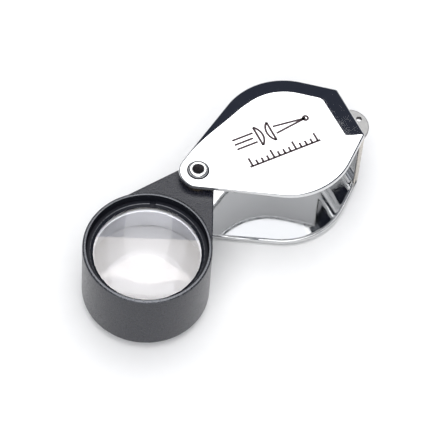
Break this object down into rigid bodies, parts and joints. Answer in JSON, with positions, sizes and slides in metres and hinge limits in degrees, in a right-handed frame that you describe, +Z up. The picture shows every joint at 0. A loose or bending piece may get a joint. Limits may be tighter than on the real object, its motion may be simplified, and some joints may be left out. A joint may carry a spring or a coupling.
{
  "type": "folding pocket loupe",
  "caption": "Folding pocket loupe: a black lens barrel on an arm swings out of a polished folded-sheet case about a tubular rivet, with a cord lug on the case.",
  "frame": {"origin": "centre of the bottom of the bounding box with the lens holder swung open, at the lowest point of the rivet's lower head", "axes": "+X from the pivot towards the folded end of the case, +Z up the pivot axis, out of the plate with the rolled rivet head"},
  "size_m": [0.0556, 0.031, 0.0167],
  "materials": {
    "polished_case": "mirror polished plate",
    "satin_steel": "satin",
    "rivet_nickel": "plated, slightly dull",
    "washer_brass": "plain",
    "black_anodised": "satin black, fine grain",
    "lens_glass": "polished",
    "bare_aluminium": "turned"
  },
  "bodies": {
    "case": {"case": "polished_case", "cord_lug": "satin_steel", "pivot_rivet": "rivet_nickel", "upper_washer": "washer_brass", "lower_washer": "washer_brass"},
    "lens_holder": {"lens_holder": "black_anodised", "upper_retaining_ring": "black_anodised", "upper_lens": "lens_glass", "spacer_ring": "bare_aluminium", "lower_lens": "lens_glass", "lower_retaining_ring": "black_anodised"}
  },
  "joints": [
    {"name": "holder_swing", "type": "hinge", "parent": "case", "child": "lens_holder", "pos_m": [-0.00386, 0.00403, 0.0083], "axis": [0, 0, 1], "continuous": true}
  ]
}
